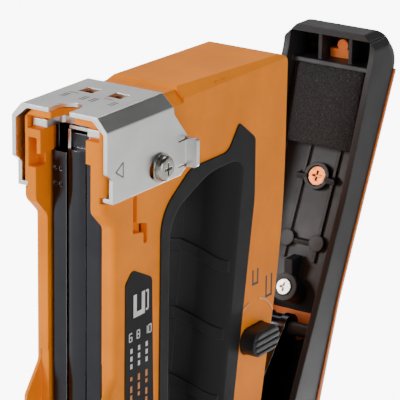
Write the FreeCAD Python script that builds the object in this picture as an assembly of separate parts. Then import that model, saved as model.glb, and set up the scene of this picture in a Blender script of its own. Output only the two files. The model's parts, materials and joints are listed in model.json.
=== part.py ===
import FreeCAD, Part
import math
import os

# Hand staple gun for loose cables, standing on its butt with the nose up and the handle open.
# All sizes are in millimetres. Y is measured from the cable guide's front edge towards the handle,
# Z from the flat butt towards the nose, and X from the middle plane, +X being the right-hand side.
# save() moves every piece so that the origin is the centre of the flat butt.

V = FreeCAD.Vector

# Overall sizes
overall_length = 198.0
body_width = 31.0
body_depth = 107.0
shell_wall = 2.5
joint_gap = 0.05
slide_gap = 0.3

# Housing outline
heel_y = 0.6
heel_top_z = 101.0
heel_flange_wall = 2.2
rail_y = 8.0
rail_top_z = 160.5
nose_y = 2.0
nose_bottom_z = 166.5
step_y = 46.0
step_height = 1.0
top_fall = 1.9
corner_radius = 3.0
rear_bend_z = 133.6
rear_waist_y = 92.0
rear_waist_z = 60.0
rear_bend_radius = 300.0
side_bevel_x = 3.5
side_bevel_z = 3.2
front_edge_round = 2.0

# Handle pivot
pivot_y = 100.0
pivot_z = 14.0
pivot_pin_r = 3.0
knuckle_r = 9.0
ear_r = 12.0
handle_swing = 18.0

# Finger hole and grip
hole_front_y = 37.0
hole_top_z = 166.0
hole_bottom_z = 62.0
bar_front_y = 69.5
bar_front_z = 150.7
bar_lean = 6.9
bar_flat = 7.0
bar_round = 11.5
grip_skin = 1.6
grip_proud = 0.5
grip_rib_pitch = 23.0
grip_rib_top_z = 138.3
grip_rib_height = 3.8
grip_rib_proud = 1.2
grip_rib_drop = 8.0
grip_rib_count = 4

# Cable guide
guide_sheet = 1.4
guide_side_gap = 1.1
guide_width = body_width + 2 * (guide_sheet + guide_side_gap)
guide_top_depth = 34.5
guide_side_depth = 44.0
guide_side_height = 27.6
guide_bevel_x = 3.7
guide_bevel_z = 4.4
guide_gap = 0.4
guide_travel = 3.0
guide_foot = 2.6
guide_foot_y = 3.0
guide_step_z = 17.5
notch_half_width = 4.0
notch_depth = 9.4
guide_window = 5.2
guide_window_x = 5.4
guide_window_y = 23.5
tab_low_z = 172.6
tab_high_z = 182.4
tab_reach = 4.3
tongue_low_z = 173.6
tongue_high_z = 181.4
tongue_slit = 0.5
tongue_root_y = 38.5
guide_screw_y = 28.5
guide_screw_z = 175.9
guide_screw_r = 2.0
guide_bush_r = 2.9
guide_washer_r = 4.7
guide_washer_t = 0.8
guide_head_r = 4.1
guide_head_h = 2.3

# Nose: notched plate, blade, staple channel
plate_t = 2.4
plate_y = 4.0
plate_end_y = 24.0
plate_low_z = 190.1
plate_wing_x = 13.2
plate_notch_x = 7.6
plate_notch_y = 12.0
blade_width = 8.4
blade_t = 1.0
blade_z = 188.9
blade_front_y = 11.0

# Magazine
mag_width = 20.0
mag_front_y = 9.0
mag_back_y = 23.6
mag_sheet = 1.2
mag_low_z = 14.0
mag_top_z = 181.5
mag_throat_y = 12.0
mag_slot_x = 3.9
rail_x = 3.3
rail_front_y = 8.3
rail_back_y = 19.2
rail_wall = 1.0
rail_low_z = 12.0
rail_ridge_top_z = 183.0
rail_top_core_z = 187.6
staple_wire = 1.1
staple_tip_y = 10.8
staple_back_y = 20.9
staple_count = 40
strip_gap = 0.2
pusher_height = 13.0
follower_rod_r = 0.9
pusher_spring_r = 1.55
pusher_spring_wire = 0.5
pusher_spring_turns = 22
cap_low_z = 1.0
cap_front_y = 2.2
mag_play = 0.4

# Hammer, main spring and linkage
hammer_axis_z = 186.1
hammer_front_y = 29.2
hammer_length = 12.0
hammer_half_width = 8.0
hammer_low_z = 179.0
hammer_high_z = 192.4
hammer_travel = 15.0
hammer_rod_r = 2.4
hammer_tail = 3.6
seat_y = 68.0
seat_t = 2.0
seat_half_width = 12.0
spring_r = 6.2
spring_wire = 1.5
spring_turns = 5
bumper_t = 3.5
crank_y = 84.0
crank_z = 170.0
crank_pin_r = 2.0
crank_hub_r = 3.8
crank_boss_r = 4.6
crank_plate_in = 3.0
crank_plate_out = 5.0
tail_pin_r = 1.6
arm_length = 28.0
arm_pin_r = 2.5
rod_pin_r = 2.0
rod_half_t = 2.0
rod_half_width = 3.0
eye_wall = 2.0
pin_play = 0.25
arm_plate_in = 3.1
arm_plate_out = 5.6
gusset_y = 130.0
gusset_z = 88.0

# Push button
button_y = 89.0
button_z = 99.5
button_length = 16.0
button_height = 9.0
button_face_x = 21.6
button_root_x = 9.2
button_travel = 3.0
button_rib_pitch = 2.2
button_play = 0.3
button_seat_x = 4.2
button_spring_r = 2.2
button_spring_wire = 0.6

# Handle
handle_width = 37.5
handle_wall = 2.4
handle_floor_t = 5.0
handle_back_round = 6.0
handle_end_bevel = 5.0
rim_top_y = 160.5
rim_top_z = 190.0
rim_bend_y = 144.5
rim_bend_z = 137.5
rim_low_y = 112.4
rim_low_z = 69.1
back_top_y = 181.0
back_top_z = 180.0
back_waist_y = 143.0
back_waist_z = 96.0
back_low_y = 131.0
back_low_z = 60.0
foam_half_width = 13.5
foam_top_z = 175.8
foam_low_z = 148.1
foam_top_y = 161.5
foam_low_y = 154.5
screw_upper_z = 136.4
screw_lower_z = 98.7
pad_z = 114.8
floor_rail_x = 6.2
overmould_t = 1.6
overmould_side = 0.35
overmould_wrap = 5.0
foam_t = 4.0
handle_head_r = 3.4
lower_boss_h = 6.0
peg_r = 2.45
latch_half = 4.8
latch_y = 172.5

# Derived places
half_width = body_width / 2
handle_half = handle_width / 2
recess_top_z = overall_length - guide_sheet - guide_gap
base_rear_y = pivot_y + knuckle_r
rest_centre_y = (heel_y + base_rear_y) / 2
half_swing = math.radians(handle_swing / 2)
crank_rise = hammer_axis_z - crank_z
crank_half_swing = math.atan(hammer_travel / 2 / crank_rise)
rod_travel = 2 * arm_length * math.sin(half_swing)
crank_arm = rod_travel / (2 * math.sin(crank_half_swing))
crank_offset = crank_arm * (1 + math.cos(crank_half_swing)) / 2
arm_offset = arm_length * (1 + math.cos(half_swing)) / 2
pivot_to_crank = math.hypot(crank_y - pivot_y, crank_z - pivot_z)
rod_lean = (math.atan2(crank_y - pivot_y, crank_z - pivot_z)
            + math.asin((crank_offset + arm_offset) / pivot_to_crank))
tail_y = crank_y - hammer_travel / 2

to_space = {
    "yz": lambda a, b, level: V(level, a, b),
    "xy": lambda a, b, level: V(a, b, level),
    "xz": lambda a, b, level: V(a, level, b),
}


def corner(points, index, plane, level):
    """Start, middle and end of the rounding at one corner of an outline."""
    place = to_space[plane]
    a, b, radius = points[index]
    here = place(a, b, level)
    if radius == 0:
        return here, None, here
    before = place(*points[index - 1][:2], level) - here
    after = place(*points[(index + 1) % len(points)][:2], level) - here
    before.normalize()
    after.normalize()
    half_turn = before.getAngle(after) / 2
    reach = radius / math.tan(half_turn)
    bisector = before + after
    bisector.normalize()
    middle = here + bisector * (radius / math.sin(half_turn) - radius)
    return here + before * reach, middle, here + after * reach


def outline(plane, points, level):
    """Closed wire through (a, b, radius) corners, in a plane at the given level."""
    corners = [corner(points, index, plane, level) for index in range(len(points))]
    edges = []
    for index, (start, middle, end) in enumerate(corners):
        if middle is not None:
            edges.append(Part.Arc(start, middle, end).toShape())
        following = corners[(index + 1) % len(corners)][0]
        if end.distanceToPoint(following) > 1e-6:
            edges.append(Part.LineSegment(end, following).toShape())
    return Part.Wire(edges)


def prism(plane, points, low, high):
    """Outline swept straight from one level to another."""
    normal = to_space[plane](0, 0, 1)
    return Part.Face(outline(plane, points, low)).extrude(normal * (high - low))


def box(x0, x1, y0, y1, z0, z1):
    return Part.makeBox(x1 - x0, y1 - y0, z1 - z0, V(x0, y0, z0))


def on_side(edge, level):
    """True for an edge that lies in either side face of a prism of that half width."""
    return edge.BoundBox.XLength < 0.001 and abs(abs(edge.CenterOfMass.x) - level) < 0.001


def along_x(y, z, radius, x0, x1):
    return Part.makeCylinder(radius, x1 - x0, V(x0, y, z), V(1, 0, 0))


def along_y(x, z, radius, y0, y1):
    return Part.makeCylinder(radius, y1 - y0, V(x, y0, z), V(0, 1, 0))


def along_z(x, y, radius, z0, z1):
    return Part.makeCylinder(radius, z1 - z0, V(x, y, z0), V(0, 0, 1))


def mirrored(shape):
    """Copy on the other side of the middle plane."""
    return shape.mirror(V(0, 0, 0), V(1, 0, 0))


def both_sides(shape):
    return shape.fuse(mirrored(shape))


def tapered_bar(start, start_r, end, end_r, x0, x1):
    """Two round ends in the YZ plane joined by their tangents."""
    dy = end[0] - start[0]
    dz = end[1] - start[1]
    heading = math.atan2(dz, dy)
    spread = math.acos((start_r - end_r) / math.hypot(dy, dz))
    points = []
    for side, centre, radius in ((1, start, start_r), (1, end, end_r), (-1, end, end_r), (-1, start, start_r)):
        angle = heading + side * spread
        points.append((centre[0] + radius * math.cos(angle), centre[1] + radius * math.sin(angle), 0))
    web = prism("yz", points, x0, x1)
    ends = along_x(start[0], start[1], start_r, x0, x1).fuse(along_x(end[0], end[1], end_r, x0, x1))
    return web.fuse(ends).removeSplitter()


def coil(radius, wire_r, pitch, turns, base, axis):
    """Round-wire coil that starts at base and runs along axis."""
    helix = Part.makeHelix(pitch, pitch * turns, radius)
    profile = Part.Wire(Part.makeCircle(wire_r, V(radius, 0, 0), V(0, 1, 0)))
    spring = Part.Wire(helix).makePipeShell([profile], True, True)
    turn = FreeCAD.Rotation(V(0, 0, 1), axis)
    spring.Placement = FreeCAD.Placement(base, turn)
    return spring


def saved(shape):
    """Shape in the row frame, whose origin is the centre of the flat butt."""
    moved = shape.copy()
    moved.translate(V(0, -rest_centre_y, 0))
    return moved


def save(node, *solids):
    """Write one node's solids to its own STEP file."""
    pieces = []
    for shape in solids:
        pieces += shape.Solids
    whole = pieces[0] if len(pieces) == 1 else Part.makeCompound(pieces)
    saved(whole).exportStep(f"parts/{node}.step")


# ---------------------------------------------------------------- finger hole and grip

def bar_solid(shift):
    """Rear bar with its rounded front, moved back by shift."""
    top_z = overall_length
    slope = math.tan(math.radians(bar_lean))
    front = bar_front_y + shift + slope * (top_z - bar_front_z)
    edge = half_width + grip_proud
    knee = bar_flat + (edge - bar_flat) * 0.7
    knee_y = front + bar_round * 0.29
    edges = [
        Part.LineSegment(V(-bar_flat, front, top_z), V(bar_flat, front, top_z)).toShape(),
        Part.Arc(V(bar_flat, front, top_z), V(knee, knee_y, top_z), V(edge, front + bar_round, top_z)).toShape(),
        Part.LineSegment(V(edge, front + bar_round, top_z), V(edge, front + body_depth, top_z)).toShape(),
        Part.LineSegment(V(edge, front + body_depth, top_z), V(-edge, front + body_depth, top_z)).toShape(),
        Part.LineSegment(V(-edge, front + body_depth, top_z), V(-edge, front + bar_round, top_z)).toShape(),
        Part.Arc(V(-edge, front + bar_round, top_z), V(-knee, knee_y, top_z), V(-bar_flat, front, top_z)).toShape(),
    ]
    return Part.Face(Part.Wire(edges)).extrude(V(0, -slope * top_z, -top_z))


def hole_points(grow):
    """Finger hole seen from the side, grown by the given amount."""
    slope = math.tan(math.radians(bar_lean))
    rear_top = bar_front_y + bar_round + slope * (hole_top_z - bar_front_z)
    rear_low = bar_front_y + bar_round + slope * (hole_bottom_z - bar_front_z)
    return [
        (hole_front_y - grow, hole_bottom_z - grow, 12 + grow),
        (rear_low + grow, hole_bottom_z - grow, 12 + grow),
        (rear_top + grow, hole_top_z + grow, 9 + grow),
        (60.0, hole_top_z + grow, 30.0),
        (hole_front_y - grow, hole_top_z - 9 + grow, 13 + grow),
    ]


def hole_volume(grow):
    """Space of the finger hole, grown by the given amount into the material round it."""
    reach = half_width + 5
    return prism("yz", hole_points(grow), -reach, reach).cut(bar_solid(grow))


def grip_outline():
    """Edge of the rubber skin on the housing's side."""
    return [
        (32.4, 46.0, 12.0),
        (71.5, 46.0, 14.0),
        (87.4, 150.0, 30.0),
        (87.2, 171.0, 3.0),
        (77.4, 178.2, 1.2),
        (71.0, 170.0, 6.0),
        (49.0, 170.0, 10.0),
        (32.4, 159.0, 14.0),
    ]


def grip_rib(top_z):
    """One swept rib on the right half of the bar's front: high in the middle, lower at the side."""
    edge = half_width + grip_proud
    bend = edge * 0.55
    low_z = top_z - grip_rib_height
    sweep = prism("xz", [
        (-1, top_z, 0),
        (bend, top_z - grip_rib_drop * 0.25, 14),
        (edge + 1, top_z - grip_rib_drop, 0),
        (edge + 1, low_z - grip_rib_drop, 0),
        (bend, low_z - grip_rib_drop * 0.25, 11),
        (-1, low_z, 0),
    ], hole_front_y + 5, body_depth)
    return bar_solid(-grip_rib_proud).common(sweep)


def make_grip():
    """Right-hand rubber skin: side flange, lining of the hole and finger ribs."""
    flange = prism("yz", grip_outline(), half_width - 1.0, half_width + grip_proud)
    lining = hole_volume(grip_skin).common(box(0, half_width - 1.0, 0, body_depth, 0, overall_length))
    skin = flange.fuse(lining).cut(hole_volume(0))
    zone = prism("yz", hole_points(grip_skin), 0, half_width + grip_proud - 0.6)
    for index in range(grip_rib_count):
        rib = grip_rib(grip_rib_top_z - index * grip_rib_pitch)
        skin = skin.fuse(rib.common(zone).cut(bar_solid(grip_skin / 2)))
    return skin.removeSplitter()


# ---------------------------------------------------------------- housing

def housing_profile(inset):
    """Side outline of the housing, moved inwards by inset."""
    front = inset
    rear = body_depth - inset
    bend_y = body_depth - inset - 0.2
    return [
        (heel_y + front, inset, 0),
        (heel_y + front, heel_top_z - inset * 0.4, 3.0),
        (rail_y + front, heel_top_z + 10.0 - inset * 0.4, 3.0),
        (rail_y + front, rail_top_z - inset * 0.4, 3.0),
        (nose_y + front, nose_bottom_z - inset * 0.4, 3.0),
        (nose_y + front, recess_top_z - inset, 0),
        (step_y - step_height - inset * 0.4, recess_top_z - inset, 0.0),
        (step_y - inset * 0.4, recess_top_z + step_height - inset, 0.4),
        (rear, recess_top_z + step_height - top_fall - inset, 3.5 if inset == 0 else 1.0),
        (bend_y, rear_bend_z, rear_bend_radius),
        (rear_waist_y + inset * 0.2 - inset, rear_waist_z, 25.0),
        (rear_waist_y + 3.5 - inset, 36.0, 14.0),
        (base_rear_y - inset, 22.0, 8.0),
        (base_rear_y - inset, inset, corner_radius if inset == 0 else 0.5),
    ]


def side_bevels():
    """Material taken off the long top edges of the housing, more of it under the guide."""
    wedges = []
    for top, y0, y1 in ((recess_top_z - 0.5, -1, step_y - step_height),
                        (recess_top_z + step_height, step_y - step_height, body_depth + 10)):
        wedges.append(prism("xz", [
            (half_width - side_bevel_x, top, 0),
            (half_width - side_bevel_x, top + 3.0, 0),
            (half_width + 1, top + 3.0, 0),
            (half_width + 1, top - side_bevel_z - side_bevel_z / side_bevel_x, 0),
        ], y0, y1))
    return both_sides(wedges[0].fuse(wedges[1]))


def pocket_for_magazine():
    """Channel in the housing's front that takes the magazine."""
    side = mag_width / 2 + mag_play
    rear = mag_back_y + mag_play
    channel = box(-side, side, -5, rear, -5, mag_top_z + mag_play)
    between_flanges = half_width - heel_flange_wall
    heel = prism("yz", [
        (-5, -5, 0),
        (rail_y + 0.2, -5, 0),
        (rail_y + 0.2, heel_top_z + 14.0, 0),
        (-5, heel_top_z + 14.0, 0),
    ], -between_flanges, between_flanges)
    return channel.fuse(heel)


def nose_opening():
    """Mouth of the staple channel, the slots of the notched plate and the pocket on the left."""
    wing = plate_wing_x + mag_play
    mouth_top = plate_low_z + plate_t + 1.4
    mouth = box(-8.6, 8.6, -5, plate_notch_y, mag_top_z - 1, mouth_top)
    side = mag_width / 2 + mag_play
    mouth = mouth.fuse(box(-side, side, mag_throat_y - 3.0, mag_back_y + mag_play, mag_top_z - 1, plate_low_z + 1.0))
    groove = notch_half_width + 0.6
    cable = box(-groove, groove, -5, notch_depth - groove + 0.6, mag_top_z, overall_length)
    cable = cable.fuse(along_z(0, notch_depth - groove + 0.6, groove, mag_top_z, overall_length))
    wings = box(-wing, wing, nose_y - 1, plate_end_y + mag_play, plate_low_z - 0.1, plate_low_z + plate_t + 0.1)
    blade_way = box(-6.0, 6.0, 5, hammer_front_y + 2, blade_z - 1.0, blade_z + 3.0)
    pocket = prism("xz", [
        (10.0, 177.3, 0.4),
        (13.2, 177.3, 0.4),
        (13.2, 186.8, 0.4),
        (10.0, 186.8, 0.4),
    ], nose_y - 1, nose_y + 5)
    brow = box(plate_notch_x - 0.5, wing, nose_y - 1, plate_y + 0.2, plate_low_z - 0.6, mouth_top)
    cuts = mouth.fuse(cable).fuse(wings).fuse(blade_way).fuse(mirrored(pocket))
    return cuts.fuse(both_sides(brow))


def foot_grooves():
    """Side grooves that the guide's inward feet run in."""
    low = overall_length - guide_side_height - slide_gap
    high = overall_length - guide_side_height + guide_sheet + slide_gap
    reach = guide_side_depth - 4 + guide_travel + 1
    depth = guide_width / 2 - guide_sheet - guide_foot - slide_gap
    return both_sides(box(depth, half_width + 1, nose_y - 1, reach, low, high))


def side_window():
    """Cranked slot in the right-hand side below the guide."""
    upper = prism("yz", [
        (17.4, 156.6, 0.6),
        (17.4, 168.6, 0.9),
        (19.6, 168.6, 0.9),
        (19.6, 159.4, 0.5),
        (25.2, 158.2, 0.9),
        (25.2, 151.8, 0.9),
        (23.2, 151.8, 0.9),
        (23.2, 155.6, 0.9),
    ], half_width - shell_wall - 0.6, half_width + 1)
    return upper


def rear_slot():
    """Slot in the housing's rear for the handle's steel arm."""
    side = arm_plate_out + 0.6
    return box(-side, side, pivot_y - 28, base_rear_y + 5, shell_wall + 1.0, gusset_z + 5)


def internal_supports():
    """Bosses, ribs and shelves inside the housing, for both shells."""
    wall_in = half_width - 0.8
    pieces = [
        along_x(pivot_y, pivot_z, knuckle_r - 1.0, arm_plate_out + 0.8, wall_in),
        along_x(crank_y, crank_z, crank_boss_r, crank_plate_out + 0.3, wall_in),
        along_x(guide_screw_y, guide_screw_z, 4.4, 9.0, wall_in),
        box(10.2, wall_in, 25.0, 33.0, 40.0, 44.0),
        box(10.2, wall_in, 25.0, 33.0, 90.0, 94.0),
        box(10.2, wall_in, 25.0, 33.0, 130.0, 134.0),
    ]
    seat_low = 172.5
    seat_top = recess_top_z - 1.0
    for edge in (seat_y - seat_t - 2.2, seat_y + 0.1):
        pieces.append(box(9.5, wall_in, edge, edge + 2.0, seat_low, seat_top))
    floor_low = hammer_low_z - 1.6
    shelf = box(0, wall_in, 25.0, seat_y - 14, floor_low, hammer_low_z - 0.4)
    pieces.append(shelf)
    for y, z in screw_places():
        pieces.append(along_x(y, z, 3.6, 0.0, wall_in))
    whole = pieces[0]
    for piece in pieces[1:]:
        whole = whole.fuse(piece)
    return whole


def screw_places():
    """Where the screws that hold the two shells together go."""
    return [(52.0, 173.6), (100.2, 183.6), (28.5, 150.0), (97.5, 132.0), (28.5, 60.0), (60.0, 8.0)]


def button_hole(grow, x0, x1):
    """Rounded slot along X that follows the push button's outline."""
    half_y = button_length / 2 + grow
    half_z = button_height / 2 + grow
    points = [
        (button_y - half_y, button_z - half_z, half_z * 0.9),
        (button_y + half_y, button_z - half_z, half_z * 0.9),
        (button_y + half_y, button_z + half_z, half_z * 0.9),
        (button_y - half_y, button_z + half_z, half_z * 0.9),
    ]
    return prism("yz", points, x0, x1)


def button_bridge():
    """Bridge inside the right shell that carries the button's spring."""
    inner = button_seat_x - 1.4
    low = button_z - 8.6
    high = button_z + 8.6
    bridge = box(inner, half_width - 0.8, button_y - 5, button_y + 5, low, high)
    return bridge.cut(box(button_seat_x, half_width - 0.8, button_y - 6, button_y + 6, low + 1.3, high - 1.3))


def housing_shell():
    """Whole housing as one hollow body, before it is split on the middle plane."""
    body = prism("yz", housing_profile(0), -half_width, half_width)
    front = [edge for edge in body.Edges if on_side(edge, half_width) and edge.CenterOfMass.y < rail_y + 3]
    body = body.makeFillet(front_edge_round, front).cut(side_bevels())
    inner_x = half_width - shell_wall
    cavity = prism("yz", housing_profile(shell_wall), -inner_x, inner_x)
    cavity = cavity.cut(hole_volume(grip_skin + shell_wall))
    front_wall_y = mag_back_y + mag_play + 1.2
    cavity = cavity.cut(box(-inner_x, inner_x, -5, front_wall_y, -5, 176.0))
    cavity = cavity.cut(box(-inner_x, inner_x, -5, plate_end_y + 1.6, 170.0, overall_length))
    body = body.cut(cavity)
    supports = internal_supports()
    body = body.fuse(both_sides(supports).common(prism("yz", housing_profile(0.5), -half_width, half_width)
                                                 .cut(hole_volume(grip_skin + 1.0))))
    pads = both_sides(along_x(guide_screw_y, guide_screw_z, 3.7, half_width - 1, guide_width / 2 - guide_sheet - 0.05))
    body = body.fuse(pads)
    body = body.cut(hole_volume(grip_skin))
    body = body.cut(both_sides(prism("yz", grip_outline(), half_width - 1.0, half_width + 1)))
    body = body.cut(pocket_for_magazine()).cut(nose_opening()).cut(foot_grooves()).cut(rear_slot())
    body = body.cut(along_x(pivot_y, pivot_z, pivot_pin_r + joint_gap, -half_width - 1, half_width + 1))
    crank_end = half_width - 1.2
    body = body.cut(along_x(crank_y, crank_z, crank_pin_r + joint_gap, -crank_end, crank_end))
    screw_in = 9.5
    bore = along_x(guide_screw_y, guide_screw_z, guide_screw_r, screw_in, guide_width / 2)
    return body.cut(both_sides(bore))


def make_housings():
    shell = housing_shell()
    reach = half_width + 5
    right = shell.common(box(0, reach, -20, 200, -20, overall_length + 20))
    left = shell.common(box(-reach, 0, -20, 200, -20, overall_length + 20))
    right = right.fuse(button_bridge()).cut(button_hole(button_play, 6.0, half_width + 3)).cut(side_window())
    for y, z in screw_places():
        left = left.cut(along_x(y, z, 1.55, -half_width - 1, 1))
        left = left.cut(along_x(y, z, 3.0, -half_width - 1, -half_width + 2.6))
        right = right.cut(along_x(y, z, 1.5, -1, 8.0))
    return right, left


def make_housing_screws():
    """Pan-head screws, driven from the left side."""
    screws = []
    for y, z in screw_places():
        head = along_x(y, z, 2.8, -half_width + 0.6, -half_width + 2.6)
        screws.append(head.fuse(along_x(y, z, 1.5, -half_width + 2.6, 7.8)).cut(cross_recess(
            V(-half_width + 0.6, y, z), V(1, 0, 0), 1.5)))
    return screws


def cross_recess(place, direction, half_length):
    """Cross-shaped driver recess cut into a screw head from the given face."""
    depth = 1.2
    width = half_length * 0.42
    cross = Part.makeBox(2 * half_length, width, depth + 1, V(-half_length, -width / 2, -1))
    cross = cross.fuse(Part.makeBox(width, 2 * half_length, depth + 1, V(-width / 2, -half_length, -1)))
    cross.Placement = FreeCAD.Placement(place, FreeCAD.Rotation(V(0, 0, 1), direction))
    return cross


# ---------------------------------------------------------------- cable guide

def guide_section(inset):
    """Inverted U with bevelled corners, seen from the front."""
    half = guide_width / 2 - inset
    top = overall_length - inset
    low = overall_length - guide_side_height
    slant = inset * 0.55
    return [
        (-half, low, 0),
        (-half, overall_length - guide_bevel_z - slant, 0.8),
        (-half + guide_bevel_x + inset - slant, top, 0.8),
        (half - guide_bevel_x - inset + slant, top, 0.8),
        (half, overall_length - guide_bevel_z - slant, 0.8),
        (half, low, 0),
    ]


def guide_trim():
    """Side outline that the bent sheet is trimmed to."""
    low = overall_length - guide_side_height
    return [
        (0.0, overall_length + 1, 0),
        (0.0, overall_length - guide_step_z, 1.0),
        (guide_foot_y, overall_length - guide_step_z - 2.4, 1.0),
        (guide_foot_y, low - 1, 0),
        (guide_side_depth - 4.2, low - 1, 0),
        (guide_side_depth - 4.2, low, 1.0),
        (guide_side_depth, low + 2.6, 1.5),
        (guide_side_depth, overall_length - 16.0, 2.5),
        (guide_side_depth - 8.0, overall_length - guide_bevel_z - 2.5, 1.0),
        (guide_top_depth, overall_length, 0.6),
        (guide_top_depth, overall_length + 1, 0),
    ]


def guide_tab():
    """Right-hand thumb tab: a tongue freed by two slits and bent outwards at its end."""
    out = guide_width / 2
    end_y = guide_side_depth
    tongue = box(out - guide_sheet, out, tongue_root_y, end_y, tongue_low_z, tongue_high_z)
    flange = prism("xz", [
        (out - guide_sheet, tab_low_z, 0.3),
        (out + tab_reach, tab_low_z, 1.4),
        (out + tab_reach, tab_high_z, 1.4),
        (out - guide_sheet, tab_high_z, 0.3),
    ], end_y - guide_sheet, end_y)
    return tongue.fuse(flange)


def make_cable_guide():
    outer = prism("xz", guide_section(0), 0, guide_side_depth)
    inner_points = guide_section(guide_sheet)
    low = overall_length - guide_side_height
    inner_points[0] = (inner_points[0][0], low - 1, 0)
    inner_points[-1] = (inner_points[-1][0], low - 1, 0)
    sheet = outer.cut(prism("xz", inner_points, -1, guide_side_depth + 1))
    side_reach = guide_width / 2 + 1
    sheet = sheet.common(prism("yz", guide_trim(), -side_reach, side_reach))
    inner = guide_width / 2 - guide_sheet
    foot = box(inner - guide_foot, inner + 0.5, guide_foot_y, guide_side_depth - 5, low, low + guide_sheet)
    sheet = sheet.fuse(both_sides(foot))
    notch = box(-notch_half_width, notch_half_width, -1, notch_depth - notch_half_width,
                overall_length - 4, overall_length + 1)
    notch = notch.fuse(along_z(0, notch_depth - notch_half_width, notch_half_width,
                               overall_length - 4, overall_length + 1))
    sheet = sheet.cut(notch)
    half = guide_window / 2
    for x in (-guide_window_x, guide_window_x):
        sheet = sheet.cut(box(x - half, x + half, guide_window_y - half, guide_window_y + half,
                              overall_length - 4, overall_length + 1))
    slot_r = guide_bush_r + 0.1
    slot = tapered_bar((guide_screw_y - guide_travel, guide_screw_z), slot_r - 0.001,
                       (guide_screw_y, guide_screw_z), slot_r, inner - 1, guide_width / 2 + 1)
    sheet = sheet.cut(both_sides(slot))
    slits = box(inner - 1, guide_width / 2 + 1, tongue_root_y, guide_side_depth + 1,
                tongue_high_z, tongue_high_z + tongue_slit)
    slits = slits.fuse(box(inner - 1, guide_width / 2 + 1, tongue_root_y, guide_side_depth + 1,
                           tongue_low_z - tongue_slit, tongue_low_z))
    clear = box(inner - 1, guide_width / 2 + 1, guide_side_depth - guide_sheet - 0.6, guide_side_depth + 1,
                tongue_low_z - 1.2, tongue_high_z + 1.2)
    sheet = sheet.cut(both_sides(slits.fuse(clear)))
    return sheet.fuse(both_sides(guide_tab())).removeSplitter()


def make_guide_fixings():
    """Screws, washers and bushes that hold the guide, one of each on either side."""
    inner = guide_width / 2 - guide_sheet - 0.05
    outer = guide_width / 2 + 0.05
    place = (guide_screw_y, guide_screw_z)
    bush = along_x(*place, guide_bush_r, inner, outer).cut(along_x(*place, guide_screw_r + 0.05, inner - 1, outer + 1))
    washer = along_x(*place, guide_washer_r, outer, outer + guide_washer_t)
    washer = washer.cut(along_x(*place, guide_screw_r + 0.05, outer - 1, outer + 2))
    head_x = outer + guide_washer_t
    head = along_x(*place, guide_head_r, head_x, head_x + guide_head_h)
    head = head.makeFillet(1.5, [edge for edge in head.Edges if edge.CenterOfMass.x > head_x + 1
                                 and edge.Length > 2 * guide_head_r * 3])
    screw = head.fuse(along_x(*place, guide_screw_r, 9.6, head_x))
    screw = screw.cut(cross_recess(V(head_x + guide_head_h, *place), V(-1, 0, 0), 2.1))
    return screw, washer, bush


# ---------------------------------------------------------------- nose and magazine

def make_nose_plate():
    """Flat plate over the blade, with a notch in its front edge that leaves two wings."""
    return prism("xy", [
        (-plate_wing_x, plate_y, 0.4),
        (-plate_notch_x, plate_y, 0.4),
        (-plate_notch_x, plate_notch_y, 1.5),
        (plate_notch_x, plate_notch_y, 1.5),
        (plate_notch_x, plate_y, 0.4),
        (plate_wing_x, plate_y, 0.4),
        (plate_wing_x, plate_end_y, 0.4),
        (-plate_wing_x, plate_end_y, 0.4),
    ], plate_low_z, plate_low_z + plate_t)


def make_magazine_channel():
    """Channel with two front flanges and a slot between them."""
    half = mag_width / 2
    outer = prism("xy", [
        (-half, mag_front_y, 1.6),
        (half, mag_front_y, 1.6),
        (half, mag_back_y, 1.0),
        (-half, mag_back_y, 1.0),
    ], mag_low_z, mag_top_z)
    inner = box(-half + mag_sheet, half - mag_sheet, mag_front_y + mag_sheet, mag_back_y - mag_sheet,
                mag_low_z - 1, mag_top_z + 1)
    slot = box(-mag_slot_x, mag_slot_x, mag_front_y - 1, mag_front_y + mag_sheet + 1, mag_low_z - 1, mag_top_z + 1)
    channel = outer.cut(inner).cut(slot)
    throat = box(-half, half, mag_throat_y, mag_back_y, mag_top_z, plate_low_z - 0.15)
    throat = throat.cut(box(-half + mag_sheet, half - mag_sheet, mag_throat_y - 1, mag_back_y - mag_sheet,
                            mag_top_z - 1, plate_low_z + 1))
    throat = throat.cut(box(-half + mag_sheet, half - mag_sheet, mag_throat_y, mag_back_y + 1, blade_z - 1.2, plate_low_z))
    channel = channel.fuse(throat).removeSplitter()
    dimple_x = (half + mag_slot_x) / 2
    for x in (-dimple_x, dimple_x):
        for side in (-1.1, 1.1):
            for z in (mag_top_z - 5.5, mag_top_z - 10.5):
                channel = channel.cut(along_y(x + side, z, 0.7, mag_front_y - 1, mag_front_y + 0.7))
    return channel


def make_staple_rail():
    """Rail that the staples straddle: crowned ridge in front, hollow and open at the back."""
    crown = 0.9
    face = Part.Face(Part.Wire([
        Part.Arc(V(-rail_x, rail_front_y + crown, 0), V(0, rail_front_y, 0), V(rail_x, rail_front_y + crown, 0)).toShape(),
        Part.LineSegment(V(rail_x, rail_front_y + crown, 0), V(rail_x, rail_back_y, 0)).toShape(),
        Part.LineSegment(V(rail_x, rail_back_y, 0), V(-rail_x, rail_back_y, 0)).toShape(),
        Part.LineSegment(V(-rail_x, rail_back_y, 0), V(-rail_x, rail_front_y + crown, 0)).toShape(),
    ]))
    rail = face.extrude(V(0, 0, rail_top_core_z - rail_low_z))
    rail.translate(V(0, 0, rail_low_z))
    hollow = box(-rail_x + rail_wall, rail_x - rail_wall, rail_front_y + 2.6, rail_back_y + 1,
                 rail_low_z - 1, rail_ridge_top_z - 4)
    step = box(-rail_x - 1, rail_x + 1, 0, rail_front_y + 3.2, rail_ridge_top_z, overall_length)
    return rail.cut(hollow).cut(step)


def strip_top():
    return blade_z - strip_gap


def strip_low():
    return strip_top() - staple_count * staple_wire


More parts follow.
